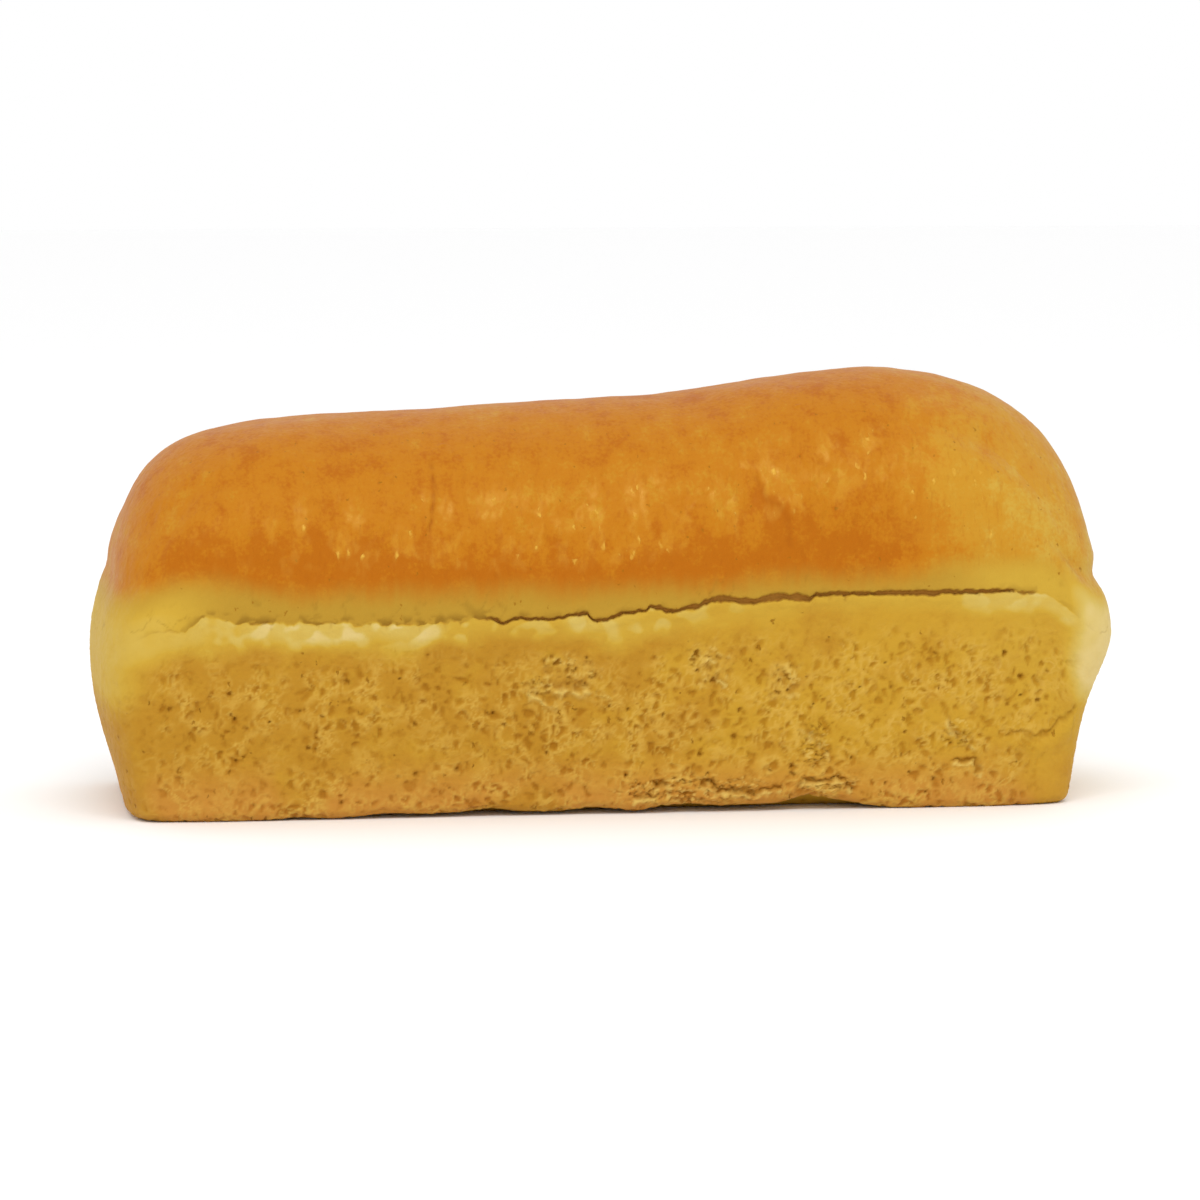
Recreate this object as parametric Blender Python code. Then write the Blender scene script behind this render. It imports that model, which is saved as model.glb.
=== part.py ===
"""A tin loaf of bread, uncut, as one solid.

The loaf stands on its base at z = 0, with its long axis along X and its front towards -Y. A cube is cut into a
lattice of quads, and each corner of the lattice is then moved to its place on the loaf:

    below the rim   the tin's tapered walls, with rounded upright corners and a soft edge round the base
    at the rim      the split, where the crown tore away from the walls
    at both ends    the swelling, where dough rolled out over the tin's rim, with a crease above it
    above the rim   the crown, a dome stretched along X, which rises towards the right end
"""

import math
from typing import NamedTuple

import bmesh
import bpy
from mathutils import Vector

# Driving dimensions, in metres.
BASE_LENGTH = 0.2820
BASE_WIDTH = 0.0940
RIM_LENGTH = 0.2917
RIM_WIDTH = 0.1100
RIM_HEIGHT = 0.0611  # of the split above the base, along the left half of the long sides
RIDGE_HEIGHT = 0.1219  # of the crown above the base, at the middle
BASE_EDGE_RADIUS = 0.0045
BASE_SHIFT = -0.0029  # how far the base sits to the left of the rim, because the end walls lean unequally

# How the loaf rose more at its right end.
RIM_RISE = 0.0056  # how much higher the split lies in the right half
RIM_RISE_START = -0.012
RIM_RISE_END = 0.058
RIDGE_SLOPE = 0.0544  # rise for each metre along X
RIGHT_LOBE = 0.0061  # extra height of the right-hand lobe of dough
RIGHT_LOBE_START = 0.014
RIGHT_LOBE_END = 0.093

CROWN_SECTION = 2.3  # exponent of the crown's section across the loaf, where 2 is an ellipse


class End(NamedTuple):
    """How the loaf closes at one end. An exponent of 2 is an ellipse, and a larger one is squarer."""

    length: float  # the stretch over which the crown comes down
    profile: float  # exponent of the crown's outline seen from the front
    crown_corner: float  # exponent of the outline seen from above, high on the crown
    rim_corner: float
    base_corner: float
    corner_drop: float  # how far the rim comes down round the corners
    swelling: float  # how far the rolled-out dough stands proud
    swelling_below: float  # height of its middle below the rim
    swelling_reach: float
    crease: float  # depth of the crease above it
    crease_above: float


LEFT_END = End(0.0716, 4.2, 3.2, 5.5, 9.0, 0.0074, 0.0102, 0.0116, 0.0377, 0.0008, 0.0165)
RIGHT_END = End(0.1297, 3.8, 3.6, 8.0, 14.0, 0.0155, 0.0056, -0.0009, 0.0187, 0.0020, 0.0180)
CREASE_HALF_WIDTH = 0.0040

# The split along each long side: (depth at the left end, depth at the right end).
SPLIT_DEPTH = {"front": (0.0012, 0.0030), "back": (0.0026, 0.0016)}
SPLIT_HALF_WIDTH = 0.0030
SPLIT_LIP = 0.0012  # how far the crust rolls out on both sides of the split
SPLIT_LIP_REACH = 0.0090

# The base's long edges, worn where the loaf left the tin: (place along X, half width, lift off the table).
FRONT_EDGE_WEAR = (
    (-0.045, 0.030, 0.0013),
    (0.012, 0.026, 0.0018),
    (0.038, 0.012, 0.0010),
    (0.060, 0.014, 0.0032),
)
BACK_EDGE_WEAR = (
    (-0.078, 0.018, 0.0016),
    (-0.010, 0.030, 0.0010),
    (0.070, 0.024, 0.0014),
)
WEAR_SHARE = 0.35  # of the wall's height, which the wear draws up with it

# The lattice: number of quads each way.
LENGTH_CUTS = 56
WIDTH_CUTS = 18
EDGE_CUTS = 3
WALL_CUTS = 5
CROWN_CUTS = 6
EDGE_SHARE = 0.10  # of the wall's lattice height, given to the rounded base edge
LIP_LEVELS = (-0.17, -0.10, -0.06, -0.03, 0.0, 0.03, 0.06, 0.10, 0.17)  # levels beside the split
FLAT = math.radians(0.05)  # faces that turn less than this against each other are one flat face

CRUST_COLOUR = (0.60, 0.29, 0.045, 1.0)
CRUST_ROUGHNESS = 0.5


def mix(start, end, share):
    return start + (end - start) * share


def smooth_step(low, high, value):
    """0 below low, 1 above high, and a smooth S between them."""
    share = min(1.0, max(0.0, (value - low) / (high - low)))
    return share * share * (3.0 - 2.0 * share)


def bell(distance, reach):
    return math.exp(-((distance / reach) ** 2))


def ridge_height(x):
    """Height of the ridge above the base: a straight rise to the right, and the right lobe on top of it."""
    lobe = RIGHT_LOBE * smooth_step(RIGHT_LOBE_START, RIGHT_LOBE_END, x)
    return RIDGE_HEIGHT + RIDGE_SLOPE * x + lobe


def plan_outline(along, across, exponent):
    """(size, outward normal) of the rounded rectangle through a point given in shares of its half sides."""
    size = (abs(along) ** exponent + abs(across) ** exponent) ** (1.0 / exponent)
    if size == 0.0:
        return 0.0, Vector((0.0, 0.0))
    steepness_along = (abs(along) / size) ** (exponent - 1.0)
    steepness_across = (abs(across) / size) ** (exponent - 1.0)
    normal = Vector(
        (
            math.copysign(steepness_along, along),
            math.copysign(steepness_across, across),
        )
    )
    return size, normal.normalized()


def rim_height(x, end, normal):
    """Height of the split above the base: it rises to the right, and comes down round the loaf's corners."""
    rise = RIM_RISE * smooth_step(RIM_RISE_START, RIM_RISE_END, x)
    return RIM_HEIGHT + rise - end.corner_drop * smooth_step(0.3, 1.0, abs(normal.x))


def rolled_out(x, y, above_rim, end, normal):
    """How far the surface stands out beside plain walls and crown: the split and its lips, and the end's swelling."""
    left, right = SPLIT_DEPTH["front" if y < 0.0 else "back"]
    depth = mix(left, right, smooth_step(-0.5 * RIM_LENGTH, 0.25 * RIM_LENGTH, x))
    split = SPLIT_LIP * bell(above_rim, SPLIT_LIP_REACH) - depth * bell(above_rim, SPLIT_HALF_WIDTH)
    swelling = end.swelling * bell(above_rim + end.swelling_below, end.swelling_reach)
    crease = end.crease * bell(above_rim - end.crease_above, CREASE_HALF_WIDTH)
    at_end = smooth_step(0.1, 0.9, abs(normal.x))
    return normal.y**4 * split + at_end * (swelling - crease)


def edge_wear(x, y):
    """How far the worn long edges of the base are lifted off the table."""
    wear = FRONT_EDGE_WEAR if y < 0.0 else BACK_EDGE_WEAR
    return sum(lift * bell(x - place, half_width) for place, half_width, lift in wear)


def wall_profile(down, rim):
    """(height, inset) of the wall for a share from 0 at the rim to 1 at the base: straight, then a quarter circle."""
    straight = 1.0 - EDGE_SHARE
    if down <= straight:
        return mix(rim, BASE_EDGE_RADIUS, down / straight), 0.0
    turn = 0.5 * math.pi * (down - straight) / EDGE_SHARE
    return BASE_EDGE_RADIUS * (1.0 - math.sin(turn)), BASE_EDGE_RADIUS * (1.0 - math.cos(turn))


def place_on_loaf(corner):
    """Moves a corner of the cube's lattice to the loaf's surface."""
    side = math.copysign(1.0, corner.x)
    end = LEFT_END if side < 0.0 else RIGHT_END
    end_share = end.length / (0.5 * RIM_LENGTH)
    middle = min(abs(corner.x) / (1.0 - end_share), 1.0)
    along = side * max(0.0, (abs(corner.x) - (1.0 - end_share)) / end_share)
    across = corner.y
    up = max(0.0, corner.z)
    down = max(0.0, -corner.z)

    exponent = mix(end.rim_corner, end.base_corner, down)
    exponent += (end.crown_corner - end.rim_corner) * smooth_step(0.0, 1.0, up)
    size, normal = plan_outline(along, across, exponent)
    rim = rim_height(0.5 * RIM_LENGTH * corner.x, end, normal)

    if corner.z >= 0.0:
        towards_end = along**2 / (along**2 + across**2 + 1e-9)
        dome = mix(CROWN_SECTION, end.profile, towards_end)
        scale = (size**dome + up**dome) ** (-1.0 / dome)
        share, inset = 1.0, 0.0
    else:
        scale = max(abs(along), abs(across)) / size if size > 0.0 else 1.0
        height, inset = wall_profile(down, rim)
        share = min(1.0, height / rim)

    half_length = 0.5 * mix(BASE_LENGTH, RIM_LENGTH, share) - inset
    half_width = 0.5 * mix(BASE_WIDTH, RIM_WIDTH, share) - inset
    x = side * (half_length - end.length) * middle + end.length * along * scale + BASE_SHIFT * (1.0 - share)
    y = half_width * across * scale
    if corner.z >= 0.0:
        height = rim + (ridge_height(x) - rim) * up * scale

    on_wall = max(abs(corner.x), abs(corner.y)) > 1.0 - 1e-6
    if on_wall or corner.z > 0.0:
        out = rolled_out(x, y, height - rim, end, normal)
        x += out * normal.x
        y += out * normal.y
    if on_wall:
        height += edge_wear(x, y) * abs(normal.y) * smooth_step(WEAR_SHARE * rim, 0.0, height)
    return Vector((x, y, height))


def levels():
    """Heights of the lattice's quads, from the base at -1 through the rim at 0 to the crown's shoulder at 1."""
    edge = [-1.0 + EDGE_SHARE * step / EDGE_CUTS for step in range(1, EDGE_CUTS + 1)]
    wall = [mix(edge[-1], LIP_LEVELS[0], step / WALL_CUTS) for step in range(1, WALL_CUTS)]
    crown = [mix(LIP_LEVELS[-1], 1.0, step / CROWN_CUTS) for step in range(1, CROWN_CUTS)]
    return edge + wall + list(LIP_LEVELS) + crown


def even_stations(cuts):
    return [-1.0 + 2.0 * step / cuts for step in range(1, cuts)]


def cut_lattice(mesh):
    """Cuts the cube straight through at each station, so that its faces become grids of quads."""
    cuts = (
        (Vector((1.0, 0.0, 0.0)), even_stations(LENGTH_CUTS)),
        (Vector((0.0, 1.0, 0.0)), even_stations(WIDTH_CUTS)),
        (Vector((0.0, 0.0, 1.0)), levels()),
    )
    for normal, places in cuts:
        for place in places:
            bmesh.ops.bisect_plane(
                mesh,
                geom=mesh.verts[:] + mesh.edges[:] + mesh.faces[:],
                plane_co=normal * place,
                plane_no=normal,
                dist=1e-6,
            )


def centre_over_origin(mesh):
    """Moves the mesh so that the middle of its length and width is over the origin."""
    for axis in range(2):
        places = [corner.co[axis] for corner in mesh.verts]
        middle = 0.5 * (min(places) + max(places))
        for corner in mesh.verts:
            corner.co[axis] -= middle


def join_flat_base(mesh):
    """Makes the quads that lie on the table one flat face."""
    base = [face for face in mesh.faces if max(corner.co.z for corner in face.verts) < 1e-7]
    edges = {edge for face in base for edge in face.edges}
    corners = {corner for face in base for corner in face.verts}
    bmesh.ops.dissolve_limit(mesh, angle_limit=FLAT, verts=list(corners), edges=list(edges))


def crust_material():
    material = bpy.data.materials.new("golden_crust")
    material.use_nodes = True
    surface = material.node_tree.nodes["Principled BSDF"]
    surface.inputs["Base Color"].default_value = CRUST_COLOUR
    surface.inputs["Roughness"].default_value = CRUST_ROUGHNESS
    surface.inputs["Metallic"].default_value = 0.0
    return material


def make_loaf(collection):
    lattice = bmesh.new()
    bmesh.ops.create_cube(lattice, size=2.0)
    cut_lattice(lattice)
    for corner in lattice.verts:
        corner.co = place_on_loaf(corner.co)
    centre_over_origin(lattice)
    join_flat_base(lattice)
    bmesh.ops.recalc_face_normals(lattice, faces=lattice.faces)
    mesh = bpy.data.meshes.new("loaf")
    lattice.to_mesh(mesh)
    lattice.free()
    mesh.shade_smooth()
    mesh.materials.append(crust_material())
    loaf = bpy.data.objects.new("loaf", mesh)
    collection.objects.link(loaf)
    return loaf


def clear_scene():
    for old in list(bpy.data.objects):
        bpy.data.objects.remove(old)


def main():
    clear_scene()
    collection = bpy.data.collections.new("tin_loaf")
    bpy.context.scene.collection.children.link(collection)
    make_loaf(collection)


main()
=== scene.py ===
# %% [markdown]
# # An uncut tin loaf
#
# A tin loaf tells the story of its baking in three kinds of crust:
#
# - the **crown** rose out of the tin into the hot air, so it is orange-brown and a little glossy
# - the **walls** were pressed against the tin, so they are tan and print the crumb's bubbles as shallow dimples
# - the **shoulder** between them tore open late in the oven, so it is pale, painted paler still as light where it faces
#   up, and a crack painted dark as shade runs along it
#
# The imported solid already holds the loaf's size and main form. It is opened first, because everything here
# is made around it and in the same metres.

# %% Open the imported model
import itertools
import math
from typing import NamedTuple

import bpy
import numpy as np
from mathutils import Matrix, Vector


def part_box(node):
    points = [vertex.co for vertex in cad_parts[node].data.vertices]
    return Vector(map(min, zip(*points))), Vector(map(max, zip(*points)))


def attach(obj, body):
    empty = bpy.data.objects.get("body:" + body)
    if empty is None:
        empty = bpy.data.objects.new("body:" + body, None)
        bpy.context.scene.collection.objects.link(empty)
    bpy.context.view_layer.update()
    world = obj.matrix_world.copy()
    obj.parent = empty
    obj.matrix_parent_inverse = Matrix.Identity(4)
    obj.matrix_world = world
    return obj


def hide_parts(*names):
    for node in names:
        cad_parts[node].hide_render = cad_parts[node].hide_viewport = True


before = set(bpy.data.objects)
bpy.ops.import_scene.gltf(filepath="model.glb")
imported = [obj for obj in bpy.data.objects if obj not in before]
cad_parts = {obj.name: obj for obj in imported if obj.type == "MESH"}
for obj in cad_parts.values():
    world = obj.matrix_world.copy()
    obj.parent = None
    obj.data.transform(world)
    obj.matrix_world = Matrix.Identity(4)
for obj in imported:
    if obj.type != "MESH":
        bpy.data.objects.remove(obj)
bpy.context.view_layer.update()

LOW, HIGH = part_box("loaf")
MM = 0.001
print("packed loaf, mm:", [round(side / MM, 1) for side in HIGH - LOW])

# %% [markdown]
# ## Three curves that everything leans on
#
# A baked thing has few hard edges. Nearly every change in shape or colour below is a smooth S, a bell, or a
# straight mix of two values. They are written for whole numpy arrays, so one call treats every point at once.

# %% Curves


def mix(start, end, share):
    return start + (end - start) * share


def smooth_step(low, high, value):
    """0 at low, 1 at high, and between them 3 s² - 2 s³ of the share s of the way."""
    share = np.clip((value - low) / (high - low), 0.0, 1.0)
    return share * share * (3.0 - 2.0 * share)


def bell(distance, reach):
    """e to the power of minus the squared distance, counted in reaches."""
    return np.exp(-((distance / reach) ** 2))


def band(low, high, edge, value):
    """1 between low and high, falling smoothly to 0 over `edge` outside them."""
    return smooth_step(low - edge, low, value) * smooth_step(high + edge, high, value)


print("halfway up the S:", float(smooth_step(0.0, 1.0, 0.5)))

# %% [markdown]
# ## Chance that comes out the same each time
#
# Dough is uneven, but the lesson has to give the same loaf on every run. Space is cut into small boxes, and the
# three whole numbers that name a box are stirred into one random share. Two patterns are built on that:
#
# - `hills` gives every box corner a slope and blends the slopes: soft hills and hollows
# - `bubbles` puts one bubble centre in every box and measures how near the two closest are: cells with borders
#
# Working in 3-D means that the patterns run round the loaf's corners without a seam.

# %% Random shares, hills and bubbles


def random_share(box, seed):
    """A random number from 0 to 1 for each box, from its three whole numbers multiplied, mixed and shifted."""
    box = box.astype(np.int64).astype(np.uint32)
    stirred = box[..., 0] * np.uint32(73856093) ^ box[..., 1] * np.uint32(19349663)
    stirred = stirred ^ box[..., 2] * np.uint32(83492791) ^ np.uint32(seed * 7919 + 12345)
    stirred = (stirred ^ (stirred >> np.uint32(16))) * np.uint32(0x7FEB352D)
    stirred = (stirred ^ (stirred >> np.uint32(15))) * np.uint32(0x846CA68B)
    stirred = stirred ^ (stirred >> np.uint32(16))
    return stirred.astype(np.float64) / 2.0**32


CUBE_EDGE_SLOPES = np.array([s for s in itertools.product((-1, 0, 1), repeat=3) if sum(map(abs, s)) == 2], float)


def hills(points, size, seed):
    """Soft noise from about -1 to 1, one hill to each `size`: at a box's eight corners the point's offset is
    multiplied by the corner's random slope, and the eight results are blended with an S along each axis."""
    place = points / size
    home = np.floor(place)
    inside = place - home
    blend = inside**3 * (inside * (inside * 6.0 - 15.0) + 10.0)
    height = np.zeros(len(points))
    for corner in itertools.product((0, 1), repeat=3):
        slope = CUBE_EDGE_SLOPES[(random_share(home + corner, seed) * 12).astype(int)]
        weight = np.prod(np.where(corner, blend, 1.0 - blend), axis=1)
        height += weight * ((inside - corner) * slope).sum(axis=1)
    return 1.5 * height


def rough_hills(points, size, seed, layers=3):
    """Hills with smaller hills on them: each layer is half as wide and half as high as the one before."""
    layer = range(layers)
    return sum(hills(points, np.multiply(size, 0.5**n), seed + n) * 0.5**n for n in layer)


def bubbles(points, size, seed):
    """(distance to the nearest centre, distance to the next one, the nearest one's own random share).

    Each box holds one centre at a random place, so the nearest two are in the 27 boxes round the point. The
    distances are counted in sizes."""
    place = points / size
    home = np.floor(place)
    nearest = np.full(len(points), 9.0)
    second = np.full(len(points), 9.0)
    share = np.zeros(len(points))
    for step in itertools.product((-1, 0, 1), repeat=3):
        box = home + step
        gap = np.zeros(len(points))
        for axis in range(3):
            gap += (box[:, axis] + random_share(box, seed + axis) - place[:, axis]) ** 2
        gap = np.sqrt(gap)
        closer = gap < nearest
        second = np.where(closer, nearest, np.minimum(second, gap))
        share = np.where(closer, random_share(box, seed + 3), share)
        nearest = np.minimum(nearest, gap)
    return nearest, second, share


sample = np.linspace((0.0, 0.0, 0.0), (1.0, 0.7, 0.4), 500)
print("hills from", round(hills(sample, 0.05, 1).min(), 2), "to", round(hills(sample, 0.05, 1).max(), 2))

# %% [markdown]
# ## A cube's skin, cut into a fine lattice
#
# The solid was made from a cube whose lattice corners were moved to their places on a loaf. The same idea, cut
# about ten times finer, gives the crust. Every lattice corner is named by three whole numbers, and corners that
# two sides of the cube share are merged, so the skin closes without seams or poles.
#
# Rows of quads lie closest beside the crack, where the crust turns most sharply.

# %% Cut the lattice

LENGTH_CUTS = 480
WIDTH_CUTS = 160
CROWN_ROWS = 90
WALL_ROWS = 134
EDGE_ROWS = 12
EDGE_SHARE = 0.10  # of the wall's lattice height, given to the rounded base edge
CRACK_STEP = 0.0036  # the first rows beside the crack, in shares of the wall's height
GROWING_ROWS = 14


def growing_levels(rows, total):
    """Levels from 0 to total: small even steps beside the crack, which widen over some rows to a larger one."""
    grown = smooth_step(0, GROWING_ROWS, np.arange(rows))
    widest = CRACK_STEP + (total - CRACK_STEP * rows) / grown.sum()
    return np.cumsum(mix(CRACK_STEP, widest, grown))


EDGE_LEVELS = np.linspace(-1.0, EDGE_SHARE - 1.0, EDGE_ROWS, endpoint=False)
WALL_LEVELS = -growing_levels(WALL_ROWS, 1.0 - EDGE_SHARE)[::-1]
LEVELS = np.concatenate((EDGE_LEVELS, WALL_LEVELS, [0.0], growing_levels(CROWN_ROWS, 1.0)))
CUTS = (LENGTH_CUTS, WIDTH_CUTS, len(LEVELS) - 1)
RIM_ROW = EDGE_ROWS + WALL_ROWS


def cube_side(fixed, far):
    """All quads on one side of the cube, as (quads, 4 corners, 3 whole numbers), wound so that they face outwards."""
    first, second = [axis for axis in range(3) if axis != fixed]
    start = np.meshgrid(np.arange(CUTS[first]), np.arange(CUTS[second]), indexing="ij")
    quads = np.zeros(start[0].shape + (4, 3), np.int64)
    for number, step in enumerate(((0, 0), (1, 0), (1, 1), (0, 1))):
        quads[..., number, first] = start[0] + step[0]
        quads[..., number, second] = start[1] + step[1]
        quads[..., number, fixed] = CUTS[fixed] * far
    if far != (fixed != 1):
        quads = quads[..., ::-1, :]
    return quads.reshape(-1, 4, 3)


all_quads = np.concatenate([cube_side(fixed, far) for fixed in range(3) for far in (False, True)])
spans = np.array((CUTS[1] + 1) * (CUTS[2] + 1)), np.array(CUTS[2] + 1)
corner_names = all_quads[..., 0] * spans[0] + all_quads[..., 1] * spans[1] + all_quads[..., 2]
names, quads = np.unique(corner_names, return_inverse=True)
quads = quads.reshape(-1, 4)
lattice = np.stack((names // spans[0], names % spans[0] // spans[1], names % spans[1]), axis=1)
cube = np.stack(
    (2.0 * lattice[:, 0] / LENGTH_CUTS - 1.0, 2.0 * lattice[:, 1] / WIDTH_CUTS - 1.0, LEVELS[lattice[:, 2]]),
    axis=1,
)
print("skin:", len(cube), "corners,", len(quads), "quads")

# %% [markdown]
# ## The loaf's form
#
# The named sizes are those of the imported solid: a tapered tin, a rounded rim, a crown that climbs to the right, and
# dough that rolled out over the tin's rim at both ends. A *superellipse*, |along|ⁿ + |across|ⁿ = 1, gives the
# outline from above. With n = 2 it is an ellipse and with a large n nearly a rectangle, which suits a tin.
#
# The solid has a shallow groove for the split. Here the rim follows a jagged crack line instead, because dough
# tears and doesn't fold.

# %% Sizes of the solid

BASE_LENGTH, BASE_WIDTH = 0.2820, 0.0940
RIM_LENGTH, RIM_WIDTH = 0.2917, 0.1100
RIM_HEIGHT, RIM_RISE, RIM_RISE_START, RIM_RISE_END = 0.0611, 0.0056, -0.012, 0.058
RIDGE_HEIGHT, RIDGE_SLOPE = 0.1219, 0.0544
RIGHT_LOBE, RIGHT_LOBE_START, RIGHT_LOBE_END = 0.0061, 0.014, 0.093
BASE_EDGE_RADIUS, BASE_SHIFT = 0.0030, -0.0029
CROWN_SECTION = 2.3
JAG_REACH = 0.30  # in shares of the wall's height: how far the crack's jags push the lattice rows aside
CREASE_HALF_WIDTH = 0.0040
SPLIT_HALF_WIDTH, SPLIT_LIP, SPLIT_LIP_REACH = 0.0030, 0.0012, 0.0090
FRONT_EDGE_WEAR = (
    (-0.045, 0.030, 0.0013),
    (0.012, 0.026, 0.0018),
    (0.038, 0.012, 0.0010),
    (0.060, 0.014, 0.0032),
)
BACK_EDGE_WEAR = (
    (-0.078, 0.018, 0.0016),
    (-0.010, 0.030, 0.0010),
    (0.070, 0.024, 0.0014),
)
# The skin's own smaller bites out of the front edge of the base: (place along X, half width, lift).
EDGE_BITES = (
    (-0.098, 0.006, 0.0007),
    (-0.072, 0.008, 0.0008),
    (-0.040, 0.006, 0.0010),
    (-0.009, 0.006, 0.0009),
    (0.0045, 0.005, -0.0009),
    (0.018, 0.008, 0.0009),
    (0.055, 0.006, 0.0015),
)
WEAR_SHARE = 0.35


class End(NamedTuple):
    """How the loaf closes at one end: exponents of its outlines, and the dough that rolled out over the tin."""

    length: float
    profile: float
    crown_corner: float
    rim_corner: float
    base_corner: float
    corner_drop: float
    swelling: float
    swelling_below: float
    swelling_reach: float
    crease: float
    crease_above: float


LEFT_END = End(0.0716, 4.2, 3.2, 5.5, 9.0, 0.0074, 0.0102, 0.0116, 0.0377, 0.0008, 0.0165)
RIGHT_END = End(0.1297, 3.8, 3.6, 8.0, 14.0, 0.0155, 0.0056, -0.0009, 0.0187, 0.0020, 0.0180)

# %% The crack's course

# (place along the front, height of the crack, half its width), in millimetres.
FRONT_CRACK = np.array(
    (
        (-150, 60.5, 0.3),
        (-140, 61.0, 0.3),
        (-133.5, 58.2, 0.3),
        (-130, 57.8, 0.3),
        (-125, 61.8, 0.3),
        (-120, 62.0, 0.3),
        (-113, 59.8, 0.5),
        (-101, 60.2, 0.5),
        (-83, 59.6, 0.3),
        (-60, 59.2, 0.3),
        (-48, 59.8, 0.3),
        (-39, 60.8, 0.4),
        (-35, 59.3, 0.5),
        (-29, 60.7, 0.35),
        (-21, 60.0, 0.35),
        (-10, 61.9, 0.5),
        (-8.5, 59.5, 0.4),
        (-6, 59.2, 0.35),
        (-0.5, 61.3, 0.55),
        (7.5, 62.1, 0.3),
        (8.5, 63.4, 0.5),
        (11, 63.0, 0.65),
        (15.5, 61.8, 0.5),
        (25, 64.2, 0.65),
        (29, 65.4, 0.8),
        (40, 64.4, 0.8),
        (45, 65.4, 1.0),
        (53, 65.6, 1.1),
        (57, 64.6, 0.6),
        (58.5, 66.2, 0.5),
        (73, 66.3, 0.5),
        (90, 66.2, 0.7),
        (110, 66.3, 0.55),
        (120, 66.4, 0.3),
        (126, 65.6, 0.35),
        (150, 65.0, 0.3),
    )
)
BACK_CRACK = np.array(((-150, 61.3, 0.4), (-80, 60.6, 0.9), (-20, 62.4, 0.6), (60, 65.4, 0.7), (150, 66.5, 0.4)))


def smooth_rim(x):
    return RIM_HEIGHT + RIM_RISE * smooth_step(RIM_RISE_START, RIM_RISE_END, x)


def crack_course(x, front, column):
    """A column of the crack's course at x: straight stretches between the named places."""
    places = [np.interp(x / MM, course[:, 0], course[:, column]) for course in (FRONT_CRACK, BACK_CRACK)]
    return np.where(front, *places) * MM


def crack_line(x, front):
    """Height of the crack: its course, with small jags of a few millimetres and fewer of about one."""
    line = np.stack((x, np.where(front, 0.0, 0.3), np.zeros_like(x)), axis=1)
    jags = 0.00035 * hills(line, 0.0042, 11) + 0.00018 * hills(line, 0.0016, 12)
    frayed = 1.4 * smooth_step(-0.030, -0.045, x) + 0.6 * band(-0.030, 0.030, 0.010, x)
    rougher = np.where(front, 1.0 + frayed, 2.5)
    return crack_course(x, front, 1) + rougher * jags


# %% Move the cube's lattice to the loaf


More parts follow.
